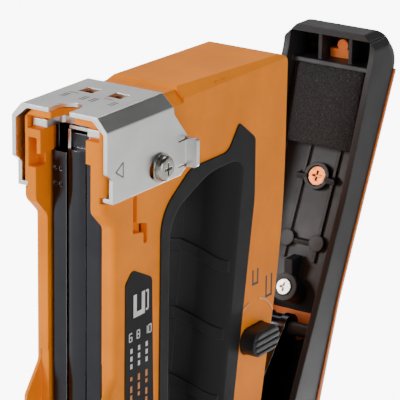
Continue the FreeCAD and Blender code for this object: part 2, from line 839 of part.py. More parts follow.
def make_staple_strip():
    """Strip of staples: crown behind the rail, legs pointing forwards on either side of it."""
    inner = rail_x + 0.15
    outer = inner + staple_wire
    low = strip_low()
    strip = box(-outer, outer, staple_tip_y, staple_back_y, low, strip_top())
    core = box(-inner, inner, staple_tip_y - 1, staple_back_y - staple_wire, low - 1, strip_top() + 1)
    strip = strip.cut(core)
    nick = 0.12
    for index in range(1, staple_count):
        z = low + index * staple_wire
        outer_skin = box(-outer - 1, outer + 1, staple_tip_y - 1, staple_back_y + 1, z - nick / 2, z + nick / 2)
        kept = box(-outer + nick, outer - nick, staple_tip_y - 2, staple_back_y - nick, z - nick, z + nick)
        strip = strip.cut(outer_skin.cut(kept))
    return strip


def make_pusher():
    """Follower that pushes the strip up: a saddle over the rail with a tongue in its hollow."""
    high = strip_low()
    low = high - pusher_height
    inner = rail_x + 0.15
    outer = inner + staple_wire
    saddle = box(-outer, outer, staple_tip_y, staple_back_y, low, high)
    saddle = saddle.cut(box(-inner, inner, staple_tip_y - 1, rail_back_y + 0.15, low - 1, high + 1))
    hollow_x = rail_x - rail_wall - 0.15
    tongue = box(-hollow_x, hollow_x, rail_front_y + 2.9, rail_back_y + 0.4, low, high)
    rod_y = follower_rod_y()
    return saddle.fuse(tongue).cut(along_z(0, rod_y, follower_rod_r + 0.1, low - 1, high + 1)).removeSplitter()


def follower_rod_y():
    return (rail_front_y + 2.6 + rail_back_y) / 2


def make_follower_rod():
    return along_z(0, follower_rod_y(), follower_rod_r, cap_low_z + 3, rail_ridge_top_z - 6)


def make_pusher_spring():
    low = rail_low_z + 1.0
    high = strip_low() - pusher_height - pusher_spring_wire - 0.1
    pitch = (high - low) / pusher_spring_turns
    return coil(pusher_spring_r, pusher_spring_wire / 2, pitch, pusher_spring_turns,
                V(0, follower_rod_y(), low), V(0, 0, 1))


def make_rail_cap():
    """Grip at the rail's lower end, by which the rail is drawn out of the magazine."""
    half = mag_width / 2 - 0.6
    cap = prism("xy", [
        (-half, cap_front_y, 2.0),
        (half, cap_front_y, 2.0),
        (half, mag_back_y - 0.6, 1.0),
        (-half, mag_back_y - 0.6, 1.0),
    ], cap_low_z, rail_low_z)
    for z in (3.4, 5.4, 7.4, 9.4):
        cap = cap.cut(box(-half - 1, half + 1, cap_front_y - 1, cap_front_y + 0.8, z, z + 0.9))
    return cap.cut(along_z(0, follower_rod_y(), follower_rod_r, cap_low_z + 3, rail_low_z + 1))


# ---------------------------------------------------------------- hammer and linkage

def make_hammer():
    rear = hammer_front_y + hammer_length
    block = prism("xz", [
        (-hammer_half_width, hammer_low_z, 1.0),
        (hammer_half_width, hammer_low_z, 1.0),
        (hammer_half_width, hammer_high_z, 1.0),
        (-hammer_half_width, hammer_high_z, 1.0),
    ], hammer_front_y, rear)
    slot = box(-blade_width / 2, blade_width / 2, hammer_front_y - 1, hammer_front_y + 9, blade_z, blade_z + blade_t)
    block = block.cut(slot)
    for x in (-2.2, 2.2):
        block = block.cut(along_z(x, hammer_front_y + 5, 1.0, blade_z - 4, hammer_high_z + 1))
    return block.cut(along_y(0, hammer_axis_z, hammer_rod_r, rear - 2.4, rear + 1))


def make_driver_blade():
    blade = box(-blade_width / 2, blade_width / 2, blade_front_y, hammer_front_y + 9, blade_z, blade_z + blade_t)
    for x in (-2.2, 2.2):
        blade = blade.cut(along_z(x, hammer_front_y + 5, 1.0, blade_z - 1, blade_z + 2))
    return blade


def make_blade_pins():
    return [along_z(x, hammer_front_y + 5, 1.0, blade_z - 4, hammer_high_z - 0.1) for x in (-2.2, 2.2)]


def make_hammer_rod():
    rear = hammer_front_y + hammer_length
    rod = along_y(0, hammer_axis_z, hammer_rod_r, rear - 2.4, tail_y + hammer_tail)
    return rod.cut(along_x(tail_y, hammer_axis_z, tail_pin_r, -5, 5))


def make_spring_seat():
    low = 173.0
    high = recess_top_z - 3.0
    seat = box(-seat_half_width, seat_half_width, seat_y - seat_t, seat_y, low, high)
    return seat.cut(along_y(0, hammer_axis_z, hammer_rod_r + 0.3, seat_y - seat_t - 1, seat_y + 1))


def make_power_spring():
    low = hammer_front_y + hammer_length + spring_wire / 2 + 0.1
    high = seat_y - seat_t - spring_wire / 2 - 0.1
    pitch = (high - low) / spring_turns
    return coil(spring_r, spring_wire / 2, pitch, spring_turns, V(0, low, hammer_axis_z), V(0, 1, 0))


def make_hammer_bumper():
    rear = hammer_front_y - 0.1
    pad = box(-hammer_half_width - 0.4, hammer_half_width + 0.4, rear - bumper_t + 0.1, rear, hammer_low_z,
              blade_z - 1.4)
    return pad


def crank_point(angle, length):
    """Point at a polar angle and distance from the crank's pivot."""
    return crank_y + length * math.cos(angle), crank_z + length * math.sin(angle)


def make_lift_crank():
    """Bell crank: a slotted fork for the hammer's tail pin and an ear for the pull rod."""
    fork_angle = math.pi / 2 + crank_half_swing
    rod_angle = -rod_lean + crank_half_swing
    near = crank_rise
    far = crank_rise / math.cos(crank_half_swing)
    tip = crank_point(fork_angle, far + 0.6)
    ear = crank_point(rod_angle, crank_arm)
    hub = (crank_y, crank_z)
    plate = tapered_bar(hub, crank_hub_r, tip, 3.4, crank_plate_in, crank_plate_out)
    plate = plate.fuse(tapered_bar(hub, crank_hub_r, ear, 3.6, crank_plate_in, crank_plate_out))
    slot_r = tail_pin_r + pin_play
    slot = tapered_bar(crank_point(fork_angle, near - 0.5), slot_r - 0.001, crank_point(fork_angle, far + 0.5), slot_r,
                       crank_plate_in - 1, crank_plate_out + 1)
    plate = plate.cut(slot).cut(along_x(*ear, rod_pin_r, crank_plate_in - 1, crank_plate_out + 1))
    crank = both_sides(plate).fuse(along_x(*hub, crank_hub_r, -crank_plate_out, crank_plate_out))
    return crank.cut(along_x(*hub, crank_pin_r + joint_gap, -9, 9)).removeSplitter()


def make_crank_rod_pin():
    ear = crank_point(-rod_lean + crank_half_swing, crank_arm)
    return along_x(*ear, rod_pin_r, -crank_plate_out, crank_plate_out)


def arm_tip():
    """Centre of the arm's rod pin with the handle open."""
    angle = math.pi - rod_lean - half_swing
    return pivot_y + arm_length * math.cos(angle), pivot_z + arm_length * math.sin(angle)


def on_rod_line(point):
    """Nearest point of the pull rod's centre line."""
    start = (pivot_y - arm_offset * math.cos(rod_lean), pivot_z + arm_offset * math.sin(rod_lean))
    reach = (point[0] - start[0]) * math.sin(rod_lean) + (point[1] - start[1]) * math.cos(rod_lean)
    return start[0] + reach * math.sin(rod_lean), start[1] + reach * math.cos(rod_lean)


def eye_slot(centre, pin_r, sideways):
    """Slot across the rod that lets a pin swing through its arc."""
    dy = sideways * math.cos(rod_lean)
    dz = -sideways * math.sin(rod_lean)
    return tapered_bar((centre[0] - dy, centre[1] - dz), pin_r + pin_play - 0.001, (centre[0] + dy, centre[1] + dz),
                       pin_r + pin_play, -rod_half_t - 1, rod_half_t + 1)


def make_pull_rod():
    """Flat rod in the rear bar, with an eye at each end."""
    low = on_rod_line(arm_tip())
    high = on_rod_line(crank_point(-rod_lean + crank_half_swing, crank_arm))
    low_sideways = (arm_length - arm_offset) + 0.1
    high_sideways = (crank_arm - crank_offset) + 0.1
    rod = tapered_bar(low, rod_half_width, high, rod_half_width - 0.001, -rod_half_t, rod_half_t)
    rod = rod.fuse(along_x(*low, arm_pin_r + low_sideways + eye_wall, -rod_half_t, rod_half_t))
    rod = rod.fuse(along_x(*high, rod_pin_r + high_sideways + eye_wall - 0.4, -rod_half_t, rod_half_t))
    rod = rod.cut(eye_slot(low, arm_pin_r, low_sideways)).cut(eye_slot(high, rod_pin_r, high_sideways))
    return rod.removeSplitter()


def make_handle_arm():
    """Steel arm: two gusset plates from the pivot to the rod pin and up into the handle."""
    hub = (pivot_y, pivot_z)
    tip = arm_tip()
    gusset = (gusset_y, gusset_z)
    plate = tapered_bar(hub, 7.5, tip, 5.2, arm_plate_in, arm_plate_out)
    plate = plate.fuse(tapered_bar(hub, 7.2, gusset, 5.0, arm_plate_in, arm_plate_out))
    plate = plate.fuse(tapered_bar(tip, 4.9, gusset, 4.7, arm_plate_in, arm_plate_out))
    web_start = (hub[0] + 0.45 * (gusset[0] - hub[0]), hub[1] + 0.45 * (gusset[1] - hub[1]))
    lighten = prism("yz", [
        (hub[0] - 6, hub[1] + 17, 1.2),
        (hub[0] + 6, hub[1] + 24, 1.2),
        (hub[0] + 12, hub[1] + 44, 1.2),
    ], arm_plate_in - 1, arm_plate_out + 1)
    plate = plate.cut(lighten).cut(along_x(*tip, arm_pin_r, arm_plate_in - 1, arm_plate_out + 1))
    web = tapered_bar(web_start, 2.0, gusset, 4.2, -arm_plate_in - 0.5, arm_plate_in + 0.5)
    arm = both_sides(plate).fuse(web)
    arm = arm.cut(along_x(*gusset, 2.5, -9, 9))
    return arm.cut(along_x(*hub, pivot_pin_r + joint_gap, -20, 20)).removeSplitter()


# ---------------------------------------------------------------- handle

def rim_points():
    """Front edge of the handle from its end down to the pivot."""
    return [
        (rim_top_y, rim_top_z, 0),
        (rim_top_y, rim_top_z - 6.5, 20.0),
        (rim_bend_y, rim_bend_z, 200.0),
        (rim_low_y, rim_low_z, 120.0),
        (pivot_y - ear_r + 2.0, pivot_z + 12.0, 25.0),
        (pivot_y - ear_r, pivot_z - ear_r, ear_r - 0.5),
    ]


def back_points(inset):
    """Back of the handle from the pivot up to its end, moved forwards by inset."""
    return [
        (pivot_y + 12.0, pivot_z - ear_r, 0),
        (pivot_y + 24.0 - inset, pivot_z - ear_r + 7.0, 9.0),
        (pivot_y + 25.0 - inset, pivot_z + 24.0, 60.0),
        (back_low_y - inset, back_low_z, 60.0),
        (back_waist_y - inset, back_waist_z, 60.0),
        (back_top_y - inset, back_top_z - inset / 3, 10.0),
        (rim_top_y + 11.0 - inset / 3, rim_top_z - inset, 8.0),
    ]


def handle_block(inset, half=handle_half):
    """Outside of the handle with rounded back corners and a bevelled end."""
    back = back_points(inset)
    block = prism("yz", rim_points() + back, -half, half)
    spine = Part.makePolygon([V(half, y, z) for y, z, radius in back])
    edges = [edge for edge in block.Edges if on_side(edge, half)
             and spine.distToShape(Part.Vertex(half, edge.CenterOfMass.y, edge.CenterOfMass.z))[0] < 5]
    block = block.makeFillet(handle_back_round, edges)
    wedge = prism("xz", [
        (handle_half - handle_end_bevel, rim_top_z + 2.0, 0),
        (handle_half + 2.0, rim_top_z + 2.0, 0),
        (handle_half + 2.0, rim_top_z - handle_end_bevel - 2.0, 0),
        (handle_half - handle_end_bevel, rim_top_z, 0),
    ], rim_top_y - 5, back_top_y + 5)
    return block.cut(both_sides(wedge))


def back_line_y(z, inset):
    """Y of the handle's back above its waist, moved forwards by inset."""
    slope = (back_top_y - back_waist_y) / (back_top_z - back_waist_z)
    return back_waist_y + slope * (z - back_waist_z) - inset


def handle_cavity():
    """Space inside the handle: deep below, floored in the middle, a foam seat, and an end pocket."""
    side = handle_half - handle_wall
    open_y = pivot_y - 2 * ear_r
    deep_top = screw_lower_z - 7.0
    deep = [(open_y, -ear_r, 0), (pivot_y + 24.0 - handle_wall, -ear_r, 0)]
    deep += [(y, z, 0) for y, z, radius in back_points(handle_wall)[2:5]]
    deep[-1] = (back_low_y - handle_wall + (back_waist_y - back_low_y) * (deep_top - back_low_z)
                / (back_waist_z - back_low_z), deep_top, 0)
    deep.append((open_y, deep_top, 0))
    floor = [
        (open_y, back_low_z, 0),
        (back_low_y - handle_floor_t, back_low_z, 0),
        (back_waist_y - handle_floor_t, back_waist_z, 0),
        (back_line_y(foam_low_z, handle_floor_t), foam_low_z, 0),
        (open_y, foam_low_z, 0),
    ]
    seat = [
        (open_y, foam_low_z - 0.1, 0),
        (foam_low_y + foam_t, foam_low_z - 0.1, 0),
        (foam_top_y + foam_t, foam_top_z + 0.1, 0),
        (open_y, foam_top_z + 0.1, 0),
    ]
    pocket_low = foam_top_z + 1.6
    end_pocket = [
        (open_y, pocket_low, 0),
        (back_line_y(pocket_low, handle_wall + 0.6), pocket_low, 2.0),
        (rim_top_y + 11.0 - handle_wall / 2, rim_top_z - handle_wall, 3.0),
        (open_y, rim_top_z - handle_wall, 0),
    ]
    sill = [
        (open_y, foam_top_z, 0),
        (foam_top_y + 0.6, foam_top_z, 0),
        (foam_top_y + 1.2, pocket_low + 0.1, 0),
        (open_y, pocket_low + 0.1, 0),
    ]
    cavity = prism("yz", deep, -side, side).fuse(prism("yz", floor, -side, side)).fuse(prism("yz", sill, -side, side))
    arch = along_y(0, deep_top, 12.0, open_y, back_line_y(deep_top + 12.0, handle_wall + 3.0))
    return cavity.fuse(arch).fuse(prism("yz", seat, -side, side)).fuse(prism("yz", end_pocket, -side, side))


def on_floor(y, z, radius, low, high):
    """Cylinder square to the handle's floor, from low to high above the given point."""
    length = math.hypot(back_top_y - back_waist_y, back_top_z - back_waist_z)
    across = V(0, -(back_top_z - back_waist_z) / length, (back_top_y - back_waist_y) / length)
    return Part.makeCylinder(radius, high - low, V(0, y, z) + across * low, across)


def floor_spot(z):
    return back_line_y(z, handle_floor_t), z


def make_handle_shell():
    shell = handle_block(0).cut(handle_cavity())
    inside = handle_half - handle_wall / 2
    upper = floor_spot(screw_upper_z)
    lower = floor_spot(screw_lower_z)
    ring = on_floor(*upper, handle_head_r + 1.6, -1, 2.6).cut(on_floor(*upper, handle_head_r + 0.3, 0, 4))
    bars = box(-handle_head_r - 4.5, handle_head_r + 4.5, upper[0] - 3, upper[0] + 3, upper[1] - 1, upper[1] + 1)
    bars = bars.cut(on_floor(*upper, handle_head_r + 0.3, 0, 6))
    column = on_floor(*lower, 5.0, -3.0, lower_boss_h).cut(on_floor(*lower, handle_head_r - 0.3, lower_boss_h - 1.6,
                                                                    lower_boss_h + 1))
    web = box(-1.6, 1.6, lower[0] - 3, lower[0] + 3.5, lower[1], lower[1] + 12)
    shell = shell.fuse(ring).fuse(bars).fuse(column).fuse(web.cut(on_floor(*lower, 4.0, 0, 20)))
    for x in (-floor_rail_x, floor_rail_x):
        strip = prism("yz", [
            (back_line_y(foam_low_z, handle_floor_t + 1.2), foam_low_z, 0),
            (back_line_y(foam_low_z, handle_floor_t - 1), foam_low_z, 0),
            (back_line_y(pad_z - 6, handle_floor_t - 1), pad_z - 6, 0),
            (back_line_y(pad_z - 6, handle_floor_t + 1.2), pad_z - 6, 0),
        ], x - 0.6, x + 0.6)
        pad = on_floor(*floor_spot(pad_z), 3.0, -1, 2.0)
        pad.translate(V(x, 0, 0))
        shell = shell.fuse(strip).fuse(pad)
        rib = box(x - 0.7, x + 0.7, rim_top_y + 4, back_top_y - 4, foam_top_z, rim_top_z - 1)
        shell = shell.fuse(rib.common(handle_block(1.0)))
    bar = box(-floor_rail_x, floor_rail_x, floor_spot(pad_z)[0] - 1.6, floor_spot(pad_z)[0] + 1, pad_z - 0.8, pad_z + 0.8)
    peg = along_x(gusset_y, gusset_z, peg_r, -inside, inside)
    shell = shell.fuse(bar).fuse(peg)
    shell = shell.cut(along_x(pivot_y, pivot_z, pivot_pin_r + joint_gap, -handle_half - 1, handle_half + 1))
    for place, low in ((upper, -3.4), (lower, lower_boss_h - 7.0)):
        shell = shell.cut(on_floor(*place, 1.5, low, 0.1 if place is upper else lower_boss_h))
    pocket = box(-latch_half - 0.05, latch_half + 0.05, latch_y - 4, latch_y + 2.05, foam_top_z + 1.6, foam_top_z + 8.6)
    return shell.cut(pocket)


def make_overmould():
    """Soft orange skin that wraps the handle's back and its rounded edges."""
    side = handle_half + overmould_side
    skin = handle_block(-overmould_t, side).cut(handle_block(0))
    zone = prism("yz", [
        (back_low_y - overmould_wrap, back_low_z + 2.0, 0),
        (back_low_y + 8, back_low_z - 1.0, 0),
        (back_waist_y + 8, back_waist_z - 3.0, 0),
        (back_top_y + 8, foam_top_z - 6.0, 0),
        (back_line_y(foam_top_z, overmould_wrap), foam_top_z, 0),
        (back_line_y(back_waist_z + 6.0, overmould_wrap), back_waist_z + 6.0, 0),
    ], -side, side)
    return skin.common(zone)


def make_handle_screws():
    """Cross-head screws on the handle's floor, upper and lower."""
    screws = []
    length = math.hypot(back_top_y - back_waist_y, back_top_z - back_waist_z)
    inwards = V(0, (back_top_z - back_waist_z) / length, -(back_top_y - back_waist_y) / length)
    for z, low, seat, radius in ((screw_upper_z, -3.3, 0.05, handle_head_r),
                                 (screw_lower_z, lower_boss_h - 6.9, lower_boss_h - 1.55, handle_head_r - 0.6)):
        place = floor_spot(z)
        screw = on_floor(*place, radius, seat, seat + 2.0).fuse(on_floor(*place, 1.45, low, seat))
        top = V(0, *place) - inwards * (seat + 2.0)
        screws.append(screw.cut(cross_recess(top, inwards, radius * 0.55)).removeSplitter())
    return screws


def make_foam_pad():
    """Plain block of foam that stops the handle against the housing."""
    return prism("yz", [
        (foam_low_y, foam_low_z, 0),
        (foam_low_y + foam_t - 0.05, foam_low_z, 0),
        (foam_top_y + foam_t - 0.05, foam_top_z, 0),
        (foam_top_y, foam_top_z, 0),
    ], -foam_half_width, foam_half_width)


def make_latch_block():
    """Small block with a domed cap, between the two ribs of the handle's end."""
    low = foam_top_z + 1.65
    block = box(-latch_half, latch_half, latch_y - 3.0, latch_y + 2.0, low, low + 3.2)
    cap = along_y(0, low + 4.6, 2.2, latch_y - 2.6, latch_y + 1.4)
    return block.fuse(cap).removeSplitter()


def make_handle_pin():
    outer = handle_half + 0.1
    pin = along_x(pivot_y, pivot_z, pivot_pin_r, -outer, outer + 2.4)
    pin = pin.fuse(along_x(pivot_y, pivot_z, 5.0, -outer - 1.6, -outer))
    groove = along_x(pivot_y, pivot_z, 6, outer + 0.1, outer + 1.1).cut(
        along_x(pivot_y, pivot_z, pivot_pin_r - 0.6, outer, outer + 2))
    return pin.cut(groove)


def make_pin_clip():
    outer = handle_half + 0.25
    clip = along_x(pivot_y, pivot_z, 5.2, outer, outer + 0.8)
    clip = clip.cut(along_x(pivot_y, pivot_z, pivot_pin_r - 0.55, outer - 1, outer + 2))
    return clip.cut(box(outer - 1, outer + 2, pivot_y, pivot_y + 8, pivot_z - 1.6, pivot_z + 1.6))


def make_handle_spring():
    """Torsion coil round the handle's pin, with one leg on the housing and one on the arm."""
    mean = pivot_pin_r + 1.4
    wire = 0.6
    low = -arm_plate_in + wire + 0.2
    turns = 3
    pitch = (2 * -low - 0.1) / turns
    spring = coil(mean, wire, pitch, turns, V(low, pivot_y, pivot_z), V(1, 0, 0))
    leg_z = pivot_z - mean
    housing_leg = along_y(low, leg_z, wire * 0.98, pivot_y - 9.0, pivot_y + 0.2)
    arm_leg = along_y(low + pitch * turns, leg_z, wire * 0.98, pivot_y - 0.2, pivot_y + 8.0)
    return spring.fuse(housing_leg).fuse(arm_leg)


# ---------------------------------------------------------------- button, label and pins

def make_push_button():
    """Oval button with a serrated face and a retaining flange."""
    body = button_hole(0, button_root_x, button_face_x)
    edges = [edge for edge in body.Edges if edge.BoundBox.XLength < 0.001 and edge.CenterOfMass.x > button_face_x - 1]
    body = body.makeChamfer(0.8, edges)
    z = button_z - button_height / 2 + 1.6
    while z < button_z + button_height / 2 - 1.0:
        body = body.cut(box(button_face_x - 0.6, button_face_x + 1, button_y - button_length, button_y + button_length,
                            z, z + button_rib_pitch * 0.4))
        z += button_rib_pitch
    flange = box(button_root_x, half_width - shell_wall - 0.1, button_y - 5, button_y + 5,
                 button_z - button_height / 2 - 1.2, button_z + button_height / 2 + 1.2)
    recess = along_x(button_y, button_z, button_spring_r + 0.8, button_root_x - 1, button_root_x + 2.5)
    return body.fuse(flange).cut(recess)


def make_button_spring():
    low = button_seat_x + button_spring_wire / 2 + 0.05
    high = button_root_x + 2.5 - button_spring_wire / 2 - 0.05
    turns = 5
    return coil(button_spring_r, button_spring_wire / 2, (high - low) / turns, turns,
                V(low, button_y, button_z), V(1, 0, 0))


def make_size_label():
    """Printed panel on the right-hand side."""
    return prism("yz", [
        (13.2, 80.0, 1.0),
        (29.6, 80.0, 1.0),
        (27.8, 139.5, 2.5),
        (17.1, 144.8, 2.5),
        (13.2, 141.0, 2.0),
    ], half_width + 0.02, half_width + 0.27)


def main():
    housing_right, housing_left = make_housings()
    screw, washer, bush = make_guide_fixings()
    handle_upper, handle_lower = make_handle_screws()
    grip = make_grip()
    save("housing_right", housing_right)
    save("housing_left", housing_left)
    save("housing_screws", *make_housing_screws())
    save("grip_right", grip)
    save("grip_left", mirrored(grip))
    save("cable_guide", make_cable_guide())
    save("guide_screws", screw, mirrored(screw))
    save("guide_washers", washer, mirrored(washer))
    save("guide_bushes", bush, mirrored(bush))
    save("nose_plate", make_nose_plate())
    save("magazine_channel", make_magazine_channel())
    save("staple_rail", make_staple_rail())
    save("follower_rod", make_follower_rod())
    save("rail_cap", make_rail_cap())
    save("staple_strip", make_staple_strip())
    save("pusher", make_pusher())
    save("pusher_spring", make_pusher_spring())
    save("hammer", make_hammer())
    save("driver_blade", make_driver_blade())
    save("blade_pins", *make_blade_pins())
    save("hammer_rod", make_hammer_rod())
    save("tail_pin", along_x(tail_y, hammer_axis_z, tail_pin_r, -crank_plate_out, crank_plate_out))
    save("spring_seat", make_spring_seat())
    save("power_spring", make_power_spring())
    save("hammer_bumper", make_hammer_bumper())
    save("lift_crank", make_lift_crank())
    save("crank_pin", along_x(crank_y, crank_z, crank_pin_r, -half_width + 1.3, half_width - 1.3))
    save("crank_rod_pin", make_crank_rod_pin())
    save("pull_rod", make_pull_rod())
    save("rod_pin", along_x(*arm_tip(), arm_pin_r, -arm_plate_out, arm_plate_out))
    save("handle_arm", make_handle_arm())
    save("handle_shell", make_handle_shell())
    save("handle_overmould", make_overmould())
    save("foam_pad", make_foam_pad())
    save("handle_screw_upper", handle_upper)
    save("handle_screw_lower", handle_lower)
    save("handle_latch_block", make_latch_block())
    save("handle_pin", make_handle_pin())
    save("pin_clip", make_pin_clip())
    save("handle_spring", make_handle_spring())
    save("push_button", make_push_button())
    save("button_spring", make_button_spring())
    save("size_label", make_size_label())


os.makedirs("parts", exist_ok=True)
main()
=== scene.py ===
import json
import math

import bmesh
import bpy
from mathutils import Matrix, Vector


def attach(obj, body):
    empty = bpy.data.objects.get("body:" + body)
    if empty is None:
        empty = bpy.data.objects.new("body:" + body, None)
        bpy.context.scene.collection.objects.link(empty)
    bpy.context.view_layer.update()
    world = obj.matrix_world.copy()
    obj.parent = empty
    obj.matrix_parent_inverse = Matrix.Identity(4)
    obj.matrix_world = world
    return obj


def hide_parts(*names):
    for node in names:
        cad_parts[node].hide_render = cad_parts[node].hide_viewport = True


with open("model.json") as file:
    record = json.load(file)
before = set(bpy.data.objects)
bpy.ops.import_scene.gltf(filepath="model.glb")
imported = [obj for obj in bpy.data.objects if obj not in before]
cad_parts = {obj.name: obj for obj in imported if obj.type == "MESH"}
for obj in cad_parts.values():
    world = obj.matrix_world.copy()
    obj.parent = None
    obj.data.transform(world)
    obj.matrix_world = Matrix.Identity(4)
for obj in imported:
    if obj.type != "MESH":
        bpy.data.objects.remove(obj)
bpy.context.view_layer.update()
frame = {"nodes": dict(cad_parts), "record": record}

# Tool coordinates are in millimetres: X from the middle plane, Y from the cable guide's front edge
# and Z from the butt. place() turns them into the frame's metres.
MM = 0.001
REST_CENTRE_Y = 54.8
TOP_Z = 198.0           # top face of the cable guide
SIDE_X = 15.5           # right face of the housing
LABEL_X = 15.77         # face of the label
GUIDE_HALF = 18.0       # right face of the cable guide

nodes = frame["nodes"]


def place(x, y, z):
    """Tool coordinates in millimetres to the row frame in metres."""
    return Vector((x * MM, (y - REST_CENTRE_Y) * MM, z * MM))


# ---------------------------------------------------------------- materials

# Sockets of the colour mix node
MIX_FACTOR, MIX_FIRST, MIX_SECOND, MIX_RESULT = 0, 6, 7, 2

# Cosine of the angle between the rounded and the true normal, where an edge begins and where it is full
EDGE_START = 0.995
EDGE_FULL = 0.9
BEVEL_SAMPLES = 4

# Middle band of a noise, which is stretched to the whole range, wide and narrow
WIDE = (0.3, 0.7)
NARROW = (0.35, 0.65)

# Noise scales, for coordinates in metres
CLOUD_SCALE = 45.0
STAIN_SCALE = 70.0
SHEEN_SCALE = 90.0
RUB_SCALE = 160.0
INK_COVER_SCALE = 600.0
ROLLING_SCALE = 900.0
FLECK_SCALE = 1900.0
INK_GRAIN_SCALE = 2500.0
FOAM_CELL_SCALE = 1500.0
FOAM_PIT_SCALE = 620.0


class Shader:
    """A node material on a Principled shader, with its texture coordinates ready."""

    def __init__(self, name):
        self.mat = bpy.data.materials.new(name)
        self.mat.use_nodes = True
        self.tree = self.mat.node_tree
        self.bsdf = self.tree.nodes["Principled BSDF"]
        self.coord = self.tree.nodes.new("ShaderNodeTexCoord")

    def node(self, kind, **inputs):
        made = self.tree.nodes.new(kind)
        for key, value in inputs.items():
            made.inputs[key.replace("_", " ")].default_value = value
        return made

    def link(self, output, socket):
        self.tree.links.new(output, socket)

    def noise(self, scale, detail=3.0, rough=0.55, stretch=None):
        tex = self.node("ShaderNodeTexNoise", Scale=scale, Detail=detail, Roughness=rough)
        source = self.coord.outputs["Object"]
        if stretch:
            mapping = self.node("ShaderNodeMapping")
            mapping.inputs["Scale"].default_value = stretch
            self.link(source, mapping.inputs["Vector"])
            source = mapping.outputs["Vector"]
        self.link(source, tex.inputs["Vector"])
        return tex.outputs["Fac"]

    def spots(self, scale):
        tex = self.node("ShaderNodeTexVoronoi", Scale=scale)
        self.link(self.coord.outputs["Object"], tex.inputs["Vector"])
        return tex.outputs["Distance"]

    def ramp(self, value, low, high, start=0.0, end=1.0):
        made = self.node("ShaderNodeMapRange")
        made.inputs["From Min"].default_value = low
        made.inputs["From Max"].default_value = high
        made.inputs["To Min"].default_value = start
        made.inputs["To Max"].default_value = end
        self.link(value, made.inputs["Value"])
        return made.outputs["Result"]

    def vector(self, operation, value, fixed=(0.0, 0.0, 0.0), output="Vector"):
        node = self.tree.nodes.new("ShaderNodeVectorMath")
        node.operation = operation
        node.inputs[1].default_value = fixed
        self.link(value, node.inputs[0])
        return node.outputs[output]

    def times(self, first, second):
        node = self.node("ShaderNodeMath")
        node.operation = "MULTIPLY"
        self.link(first, node.inputs[0])
        self.link(second, node.inputs[1])
        return node.outputs[0]

    def mix(self, factor, first, second):
        made = self.tree.nodes.new("ShaderNodeMix")
        made.data_type = "RGBA"
        for index, value in ((MIX_FIRST, first), (MIX_SECOND, second)):
            if isinstance(value, tuple):
                made.inputs[index].default_value = (*value, 1.0)
            else:
                self.link(value, made.inputs[index])
        self.link(factor, made.inputs[MIX_FACTOR])
        return made.outputs[MIX_RESULT]

    def edges(self, radius):
        """Normal rounded over sharp edges, and a mask that is 1 on them."""
        bevel = self.node("ShaderNodeBevel", Radius=radius)
        bevel.samples = BEVEL_SAMPLES
        geometry = self.tree.nodes.new("ShaderNodeNewGeometry")
        dot = self.tree.nodes.new("ShaderNodeVectorMath")
        dot.operation = "DOT_PRODUCT"
        self.link(bevel.outputs["Normal"], dot.inputs[0])
        self.link(geometry.outputs["Normal"], dot.inputs[1])
        return bevel.outputs["Normal"], self.ramp(dot.outputs["Value"], EDGE_START, EDGE_FULL)

    def bump(self, height, strength, distance, normal):
        made = self.node("ShaderNodeBump", Strength=strength, Distance=distance)
        self.link(height, made.inputs["Height"])
        if normal is not None:
            self.link(normal, made.inputs["Normal"])
        return made.outputs["Normal"]

    def finish(self, color, rough, normal, metallic=0.0, specular=0.5):
        self.link(color, self.bsdf.inputs["Base Color"])
        if isinstance(rough, float):
            self.bsdf.inputs["Roughness"].default_value = rough
        else:
            self.link(rough, self.bsdf.inputs["Roughness"])
        self.link(normal, self.bsdf.inputs["Normal"])
        self.bsdf.inputs["Metallic"].default_value = metallic
        self.bsdf.inputs["Specular IOR Level"].default_value = specular
        return self.mat


def shade(color, factor):
    return tuple(min(1.0, channel * factor) for channel in color)


def moulded(name, color, worn, rough, grain, depth, edge=0.0005, specular=0.4):
    """Moulded plastic or rubber: fine spark-eroded grain, faint clouding, paler rubbed edges."""
    s = Shader(name)
    normal, mask = s.edges(edge)
    base = s.mix(s.ramp(s.noise(CLOUD_SCALE, 4.0), *WIDE), shade(color, 0.86), shade(color, 1.1))
    rubbed = s.times(mask, s.ramp(s.noise(RUB_SCALE, 4.0), *NARROW, 0.25, 0.8))
    base = s.mix(rubbed, base, worn)
    normal = s.bump(s.noise(grain, 2.0, 0.7), 0.35, depth, normal)
    roughness = s.ramp(s.noise(SHEEN_SCALE), *WIDE, rough - 0.06, rough + 0.06)
    return s.finish(base, roughness, normal, 0.0, specular)


def metal(name, color, worn, rough, stretch, edge=0.0003, depth=0.00003, spread=0.08):
    """Sheet or turned steel: long rolling marks, small stains and bright edges."""
    s = Shader(name)
    normal, mask = s.edges(edge)
    grain = s.noise(ROLLING_SCALE, 3.0, 0.6, stretch)
    stain = s.noise(STAIN_SCALE, 5.0, 0.6)
    base = s.mix(s.ramp(stain, *NARROW), shade(color, 0.88), color)
    base = s.mix(mask, base, worn)
    normal = s.bump(grain, 0.25, depth, normal)
    roughness = s.ramp(grain, *WIDE, rough - spread, rough + spread)
    return s.finish(base, roughness, normal, 1.0, 0.5)


def make_foam():
    """Open-cell foam: dark, with pale speckles, small pits and painted shade in the hollow of each cell.
    """
    s = Shader("foam_open_cell")
    cells = s.spots(FOAM_CELL_SCALE)
    pits = s.spots(FOAM_PIT_SCALE)
    # Painted shade: the colour is darkest at the bottom of each cell's hollow, where the cell bump is
    # lowest.
    base = s.mix(s.ramp(cells, 0.1, 0.45), (0.006, 0.006, 0.006), (0.028, 0.028, 0.029))
    flecks = s.ramp(s.noise(FLECK_SCALE, 2.0), 0.62, 0.7)
    base = s.mix(flecks, base, (0.07, 0.07, 0.07))
    normal = s.bump(pits, 0.6, 0.0004, None)
    normal = s.bump(cells, 0.7, 0.0003, normal)
    return s.finish(base, 0.95, normal, 0.0, 0.2)


